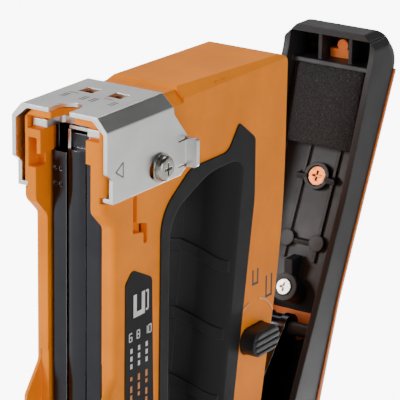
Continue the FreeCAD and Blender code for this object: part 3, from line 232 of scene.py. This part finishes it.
def printed(name, color, rough=0.5):
    """Ink or laser mark with slightly uneven cover."""
    s = Shader(name)
    base = s.mix(s.ramp(s.noise(INK_COVER_SCALE, 3.0), *WIDE), shade(color, 0.8), color)
    normal = s.bump(s.noise(INK_GRAIN_SCALE), 0.15, 0.00002, None)
    return s.finish(base, rough, normal)


# How the rolling marks run: a small share on one axis draws them out along it
EVEN = (1.0, 1.0, 1.0)
ALONG_Y = (1.0, 0.03, 1.0)
ALONG_Z = (1.0, 1.0, 0.03)
ALONG_WIRE = (1.0, 1.0, 0.3)

# The material of each slot. Colours are linear, edge and depth are in metres.
materials = {
    "orange_shell": moulded("orange_plastic", (0.88, 0.235, 0.004), (0.9, 0.3, 0.03), rough=0.55,
                            grain=2600.0, depth=0.00006, edge=0.0006, specular=0.12),
    "black_rubber": moulded("black_rubber", (0.012, 0.012, 0.0125), (0.04, 0.04, 0.04), rough=0.6,
                            grain=3200.0, depth=0.00008, edge=0.0006, specular=0.15),
    "black_plastic": moulded("black_nylon", (0.016, 0.016, 0.017), (0.07, 0.07, 0.07), rough=0.45,
                             grain=1500.0, depth=0.00012, edge=0.0007, specular=0.3),
    "orange_rubber": moulded("orange_rubber", (0.7, 0.15, 0.008), (0.8, 0.26, 0.05), rough=0.6,
                             grain=2600.0, depth=0.00008),
    "label_black": moulded("label_film", (0.01, 0.01, 0.0105), (0.03, 0.03, 0.03), rough=0.55,
                           grain=1800.0, depth=0.00003, edge=0.0002, specular=0.12),
    "zinc_sheet": metal("satin_zinc", (0.76, 0.76, 0.75), (0.97, 0.97, 0.96), 0.3, ALONG_Y,
                        edge=0.00035, depth=0.000006, spread=0.03),
    "screw_steel": metal("plated_screw", (0.44, 0.42, 0.38), (0.7, 0.68, 0.63), 0.24, EVEN),
    "blued_steel": metal("blackened_steel", (0.04, 0.041, 0.046), (0.3, 0.3, 0.32), 0.22, ALONG_Z,
                         depth=0.000015),
    "bright_steel": metal("ground_steel", (0.62, 0.62, 0.61), (0.85, 0.85, 0.84), 0.3, ALONG_Z),
    "staple_wire": metal("staple_wire", (0.68, 0.68, 0.67), (0.8, 0.8, 0.8), 0.3, ALONG_WIRE),
    "spring_wire": metal("spring_wire", (0.35, 0.35, 0.37), (0.6, 0.6, 0.6), 0.3, EVEN),
    "copper_screw": metal("copper_screw", (0.5, 0.14, 0.04), (0.75, 0.35, 0.18), 0.36, EVEN),
    "foam": make_foam(),
}
white_ink = printed("white_ink", (0.72, 0.72, 0.7))
orange_ink = printed("orange_ink", (0.62, 0.2, 0.03))
black_ink = printed("black_ink", (0.02, 0.02, 0.02))
etched = printed("etched_mark", (0.16, 0.16, 0.16), 0.6)
raised_orange = moulded("raised_orange", (0.8, 0.3, 0.07), (0.88, 0.46, 0.18), rough=0.42,
                        grain=2600.0, depth=0.00004)

slot_of = {part["node"]: part["material_slot"] for part in frame["record"]["subparts"]}
for name, thing in nodes.items():
    thing.data.materials.clear()
    thing.data.materials.append(materials[slot_of[name]])


# ---------------------------------------------------------------- extra pieces

def finish_piece(name, mesh, material, body):
    thing = bpy.data.objects.new(name, mesh)
    bpy.context.scene.collection.objects.link(thing)
    thing.data.materials.append(material)
    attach(thing, body)
    return thing


def plates(name, outlines, to_place, depth, material, body):
    """Thin raised plates from flat outlines: to_place(a, b, level) gives tool coordinates."""
    bm = bmesh.new()
    for outline in outlines:
        low = [bm.verts.new(place(*to_place(a, b, 0.0))) for a, b in outline]
        high = [bm.verts.new(place(*to_place(a, b, depth))) for a, b in outline]
        bm.faces.new(low)
        bm.faces.new(high)
        count = len(outline)
        for index in range(count):
            following = (index + 1) % count
            bm.faces.new((low[index], low[following], high[following], high[index]))
    bmesh.ops.recalc_face_normals(bm, faces=bm.faces)
    mesh = bpy.data.meshes.new(name)
    bm.to_mesh(mesh)
    bm.free()
    return finish_piece(name, mesh, material, body)


def bar(a0, b0, a1, b1, width):
    """Outline of a straight stroke."""
    along = Vector((a1 - a0, b1 - b0)).normalized()
    side = Vector((-along.y, along.x)) * width / 2
    return [(a0 + side.x, b0 + side.y), (a1 + side.x, b1 + side.y), (a1 - side.x, b1 - side.y),
            (a0 - side.x, b0 - side.y)]


def staple_icon(a, b, width, height, line):
    """Simple staple, crown down and legs up."""
    return [bar(a, b + line / 2, a + width, b + line / 2, line),
            bar(a + line / 2, b + line, a + line / 2, b + height, line),
            bar(a + width - line / 2, b + line, a + width - line / 2, b + height, line)]


def arc_strokes(a, b, radius, start, end, width, steps=10):
    """Outlines that follow a circular arc, angles in degrees."""
    angles = [math.radians(start + (end - start) * k / steps) for k in range(steps + 1)]
    points = [(a + radius * math.cos(t), b + radius * math.sin(t)) for t in angles]
    return [bar(*points[k], *points[k + 1], width) for k in range(steps)]


# Seven-segment numerals: width, stroke and step to the next one, as shares of the height
DIGIT_WIDTH = 0.55
DIGIT_LINE = 0.16
DIGIT_STEP = 0.85
SEGMENTS = {"0": "abcdef", "1": "bc", "6": "afgedc", "8": "abcdefg"}


def digit(a, b, size, segments):
    """Seven-segment numeral from its lower left corner."""
    w = size * DIGIT_WIDTH
    h = size / 2
    ends = {
        "a": (0, 2 * h, w, 2 * h), "b": (w, h, w, 2 * h), "c": (w, 0, w, h), "d": (0, 0, w, 0),
        "e": (0, 0, 0, h), "f": (0, h, 0, 2 * h), "g": (0, h, w, h),
    }
    return [bar(a + ends[s][0], b + ends[s][1], a + ends[s][2], b + ends[s][3], size * DIGIT_LINE)
            for s in segments]


def number(a, b, size, text):
    outlines = []
    for index, figure in enumerate(text):
        outlines += digit(a + index * size * DIGIT_STEP, b, size, SEGMENTS[figure])
    return outlines


def on_right(level):
    return lambda a, b, lift: (level + lift, a, b)


def on_top(level):
    return lambda a, b, lift: (a, b, level + lift)


def polyline(points, width):
    """Outlines of the strokes from each point to the next."""
    return [bar(*first, *second, width) for first, second in zip(points, points[1:])]


# How far marks stand off the surface that they are on, and how thick they are
LIFT = 0.01
INK_THICK = 0.05
ETCH_THICK = 0.04
RAISED_THICK = 0.22

# Marks on the label: three columns, each with a numeral, white dashes and orange dashes
COLUMN_Y = 16.0
COLUMN_STEP = 4.2
COLUMN_MIDDLE = 0.6
NUMERAL_Z = 121.2
NUMERAL_SIZE = 2.6
DASH_WIDTH = 1.1
WHITE_ROWS = 3
WHITE_TOP_Z = 118.6
WHITE_LENGTH = 1.6
WHITE_PITCH = 2.6
ORANGE_ROWS = 8
ORANGE_TOP_Z = 109.0
ORANGE_PITCH = 3.1
ORANGE_LONG = 2.2
ORANGE_SHORT = 1.3


def make_label_marks():
    """Plain staple sign, three sizes as numerals and rows of dashes in place of printed words."""
    marks = staple_icon(17.6, 128.6, 6.2, 7.6, 1.7)
    marks += [bar(25.6, 129.6, 25.6, 135.8, 0.7), bar(24.4, 135.8, 25.6, 135.8, 0.7),
              bar(24.4, 129.6, 25.6, 129.6, 0.7)]
    dashes = []
    for column, figure in enumerate(("6", "8", "10")):
        y = COLUMN_Y + column * COLUMN_STEP
        middle = y + COLUMN_MIDDLE
        marks += number(y - COLUMN_MIDDLE, NUMERAL_Z, NUMERAL_SIZE, figure)
        for row in range(WHITE_ROWS):
            top = WHITE_TOP_Z - row * WHITE_PITCH
            marks.append(bar(middle, top, middle, top - WHITE_LENGTH, DASH_WIDTH))
        for row in range(ORANGE_ROWS):
            top = ORANGE_TOP_Z - row * ORANGE_PITCH
            length = ORANGE_LONG if (row + column) % 3 else ORANGE_SHORT
            dashes.append(bar(middle, top, middle, top - length, DASH_WIDTH))
    plates("label_marks", marks, on_right(LABEL_X), INK_THICK, white_ink, "housing")
    plates("label_dashes", dashes, on_right(LABEL_X), INK_THICK, orange_ink, "housing")


# Raised arcs round the push button
ARC_CENTRE = (89.0, 99.5)
ARC_RADIUS = 13.6
ARC_WIDTH = 0.8
ARC_ANGLES = ((28, 78), (102, 140))


def make_side_marks():
    """Two staple signs and the arcs round the button, on the right face of the housing."""
    marks = staple_icon(87.6, 118.4, 3.9, 5.6, 0.9)
    marks += staple_icon(96.2, 111.6, 4.2, 8.0, 0.9)
    plates("feed_marks", marks, on_right(SIDE_X + LIFT), INK_THICK, black_ink, "housing")
    raised = []
    for start, end in ARC_ANGLES:
        raised += arc_strokes(*ARC_CENTRE, ARC_RADIUS, start, end, ARC_WIDTH)
    plates("button_arcs", raised, on_right(SIDE_X + LIFT), RAISED_THICK, raised_orange, "housing")


# Marks on the cable guide
ARROW = ((4.6, 180.2), (8.4, 182.6), (8.4, 177.8), (4.6, 180.2))
ETCH_WIDTH = 0.45
FINE_ETCH_WIDTH = 0.4
PAIR_X = (-9.4, -2.2, 1.4, 8.8)
PAIR_GAP = 1.1
PAIR_Y = (13.2, 17.2)
CROSS_Y = 18.6
CROSS_X = ((-9.6, -6.2), (3.6, 7.2))


def make_guide_marks():
    """Arrow on the guide's right side, and short strokes on its top."""
    plates("guide_arrow", polyline(ARROW, ETCH_WIDTH), on_right(GUIDE_HALF + LIFT), ETCH_THICK, etched,
           "guide")
    marks = []
    for x in PAIR_X:
        for at in (x, x + PAIR_GAP):
            marks.append(bar(at, PAIR_Y[0], at, PAIR_Y[1], ETCH_WIDTH))
    for low, high in CROSS_X:
        marks.append(bar(low, CROSS_Y, high, CROSS_Y, FINE_ETCH_WIDTH))
    plates("guide_marks", marks, on_top(TOP_Z + LIFT), ETCH_THICK, etched, "guide")


# Foam block: (Y, Z) of its lower and upper end at the open face, half width and thickness
FOAM_LOW = (154.5, 148.1)
FOAM_TOP = (161.5, 175.8)
FOAM_HALF = 13.5
FOAM_THICK = 3.9
FOAM_STEPS = (26, 26, 4)
FOAM_ROUND_STEPS = 3
FOAM_ROUND = 0.55
FOAM_RIPPLE = 0.10
FOAM_INSET = 0.1


def make_foam_pad():
    """Foam block with soft edges and a faintly uneven face."""
    bm = bmesh.new()
    across, along, deep = FOAM_STEPS
    grid = {}
    for i in range(across + 1):
        for j in range(along + 1):
            for k in range(deep + 1):
                if i in (0, across) or j in (0, along) or k in (0, deep):
                    x = (i / across * 2 - 1) * FOAM_HALF
                    t = j / along
                    d = k / deep
                    edge = min(i, across - i, FOAM_ROUND_STEPS) / FOAM_ROUND_STEPS
                    end = min(j, along - j, FOAM_ROUND_STEPS) / FOAM_ROUND_STEPS
                    sink = (1 - edge) ** 2 * FOAM_ROUND + (1 - end) ** 2 * FOAM_ROUND
                    ripple = FOAM_RIPPLE * math.sin(i * 1.7 + j * 0.9) * math.sin(j * 1.3 - i * 0.6)
                    y = FOAM_LOW[0] + (FOAM_TOP[0] - FOAM_LOW[0]) * t + d * FOAM_THICK
                    y += (1 - d) * (sink + ripple + FOAM_INSET)
                    z = FOAM_LOW[1] + (FOAM_TOP[1] - FOAM_LOW[1]) * t
                    grid[i, j, k] = bm.verts.new(place(x, y, z))
    for i in range(across):
        for j in range(along):
            for k in (0, deep):
                bm.faces.new((grid[i, j, k], grid[i + 1, j, k], grid[i + 1, j + 1, k], grid[i, j + 1, k]))
    for i in range(across):
        for k in range(deep):
            for j in (0, along):
                bm.faces.new((grid[i, j, k], grid[i + 1, j, k], grid[i + 1, j, k + 1], grid[i, j, k + 1]))
    for j in range(along):
        for k in range(deep):
            for i in (0, across):
                bm.faces.new((grid[i, j, k], grid[i, j + 1, k], grid[i, j + 1, k + 1], grid[i, j, k + 1]))
    bmesh.ops.recalc_face_normals(bm, faces=bm.faces)
    for face in bm.faces:
        face.smooth = True
    mesh = bpy.data.meshes.new("foam_block")
    bm.to_mesh(mesh)
    bm.free()
    pad = finish_piece("foam_block", mesh, materials["foam"], "handle")
    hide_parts("foam_pad")


make_label_marks()
make_side_marks()
make_guide_marks()
make_foam_pad()


# ---------------------------------------------------------------- stage, light and camera

# The floor glows faintly, and strongly in a wedge behind the tool that serves as a white backdrop.
# The wedge is laid out for the camera below: WEDGE_POINT is roughly the floor under it, and BACKDROP_WAY
# is its heading. From other sides it shows as a bright patch. BACKDROP_GLOW = FLOOR_GLOW takes it away.
# Its ends are distances past the tool in metres, its sides are cosines of the angle at WEDGE_POINT.
FLOOR_HALF = 6.0
FLOOR_GLOW = 0.28
BACKDROP_GLOW = 8.0
BACKDROP_WAY = (-0.549, 0.836, 0.0)
WEDGE_POINT = (0.41, -0.625, 0.0)
WEDGE_SIDES = (0.97, 0.985)
WEDGE_NEAR = (0.09, 0.15)
WEDGE_FAR = (1.4, 1.8)


def make_floor():
    mesh = bpy.data.meshes.new("floor")
    corners = [(x * FLOOR_HALF, y * FLOOR_HALF, 0) for x, y in ((-1, -1), (1, -1), (1, 1), (-1, 1))]
    mesh.from_pydata(corners, [], [(0, 1, 2, 3)])
    floor = bpy.data.objects.new("floor", mesh)
    bpy.context.scene.collection.objects.link(floor)
    s = Shader("glowing_floor")
    base = s.mix(s.ramp(s.noise(3.0), 0.3, 0.7), (0.93, 0.93, 0.93), (0.95, 0.95, 0.95))
    s.finish(base, 0.9, s.bump(s.noise(40.0), 0.02, 0.0005, None), 0.0, 0.1)
    # Painted light: the floor glows faintly everywhere and strongly in the wedge behind the tool, which
    # stands as a lit white backdrop.
    s.bsdf.inputs["Emission Color"].default_value = (1.0, 1.0, 1.0, 1.0)
    behind = s.vector("DOT_PRODUCT", s.coord.outputs["Object"], BACKDROP_WAY, "Value")
    unit = s.vector("NORMALIZE", s.vector("SUBTRACT", s.coord.outputs["Object"], WEDGE_POINT))
    inside = s.ramp(s.vector("DOT_PRODUCT", unit, BACKDROP_WAY, "Value"), *WEDGE_SIDES)
    glow = s.times(s.times(inside, s.ramp(behind, *WEDGE_NEAR)), s.ramp(behind, *WEDGE_FAR, 1.0, 0.0))
    s.link(s.ramp(glow, 0.0, 1.0, FLOOR_GLOW, BACKDROP_GLOW), s.bsdf.inputs["Emission Strength"])
    floor.data.materials.append(s.mat)


def make_light(name, where, aim, size, power):
    data = bpy.data.lights.new(name, "AREA")
    data.shape = "RECTANGLE"
    data.size, data.size_y = size
    data.energy = power
    lamp = bpy.data.objects.new(name, data)
    bpy.context.scene.collection.objects.link(lamp)
    lamp.location = where
    lamp.rotation_euler = (Vector(aim) - Vector(where)).to_track_quat("-Z", "Y").to_euler()


# Height of a direction, on the texture's scale, where the world turns dark, and its two strengths
HORIZON_BAND = (0.35, 0.42)
HORIZON_STRENGTH = 0.7
OVERHEAD_STRENGTH = 0.05


def make_world():
    """White low down and nearly black overhead, so that sloping metal faces turn dark."""
    world = bpy.data.worlds.new("studio")
    bpy.context.scene.world = world
    world.use_nodes = True
    tree = world.node_tree
    background = tree.nodes["Background"]
    coord = tree.nodes.new("ShaderNodeTexCoord")
    split = tree.nodes.new("ShaderNodeSeparateXYZ")
    ramp = tree.nodes.new("ShaderNodeMapRange")
    ramp.interpolation_type = "SMOOTHSTEP"
    ramp.inputs["From Min"].default_value = HORIZON_BAND[0]
    ramp.inputs["From Max"].default_value = HORIZON_BAND[1]
    ramp.inputs["To Min"].default_value = HORIZON_STRENGTH
    ramp.inputs["To Max"].default_value = OVERHEAD_STRENGTH
    tree.links.new(coord.outputs["Generated"], split.inputs[0])
    tree.links.new(split.outputs["Z"], ramp.inputs["Value"])
    tree.links.new(ramp.outputs["Result"], background.inputs["Strength"])
    background.inputs["Color"].default_value = (1.0, 1.0, 1.0, 1.0)


# Camera angles in degrees, its distance in millimetres, and where it shows the guide's front edge
CAMERA_AZIMUTH = 33.3
CAMERA_ELEVATION = 18.25
CAMERA_ROLL = 0.87
CAMERA_FOCAL_PIXELS = 2600.0
CAMERA_DISTANCE = 787.8
ANCHOR_PIXEL = (58.97, 110.09)
FRAME_PIXELS = 400.0
SENSOR = 36.0
CLIP_START = 0.01


def make_camera():
    """Camera that shows the middle of the guide's top front edge at ANCHOR_PIXEL."""
    azimuth = math.radians(CAMERA_AZIMUTH)
    elevation = math.radians(CAMERA_ELEVATION)
    roll = math.radians(CAMERA_ROLL)
    back = Vector((math.sin(azimuth) * math.cos(elevation), -math.cos(azimuth) * math.cos(elevation),
                   math.sin(elevation)))
    level = Vector((math.cos(azimuth), math.sin(azimuth), 0.0))
    upright = back.cross(level)
    right = level * math.cos(roll) + upright * math.sin(roll)
    up = upright * math.cos(roll) - level * math.sin(roll)
    centre = FRAME_PIXELS / 2
    x0 = (ANCHOR_PIXEL[0] - centre) / CAMERA_FOCAL_PIXELS * CAMERA_DISTANCE
    y0 = -(ANCHOR_PIXEL[1] - centre) / CAMERA_FOCAL_PIXELS * CAMERA_DISTANCE
    offset = (back * CAMERA_DISTANCE - right * x0 - up * y0) * MM
    data = bpy.data.cameras.new("camera")
    data.sensor_width = SENSOR
    data.lens = CAMERA_FOCAL_PIXELS / FRAME_PIXELS * SENSOR
    data.clip_start = CLIP_START
    camera = bpy.data.objects.new("camera", data)
    bpy.context.scene.collection.objects.link(camera)
    matrix = camera.matrix_world.copy()
    for column, axis in enumerate((right, up, back)):
        for row in range(3):
            matrix[row][column] = axis[row]
    matrix.translation = place(0, 0, TOP_Z) + offset
    camera.matrix_world = matrix
    bpy.context.scene.camera = camera


make_floor()
make_world()
# name, where, aim, size in metres, watts
make_light("key", (-0.7, -1.1, 0.6), (0, 0, 0.12), (0.6, 0.6), 15.0)
make_light("fill", (1.2, -0.5, 0.5), (0, 0, 0.1), (0.7, 0.9), 5.0)
make_light("top", (-0.35, 0.5, 1.3), (0, 0, 0.1), (0.9, 0.9), 13.0)
make_camera()
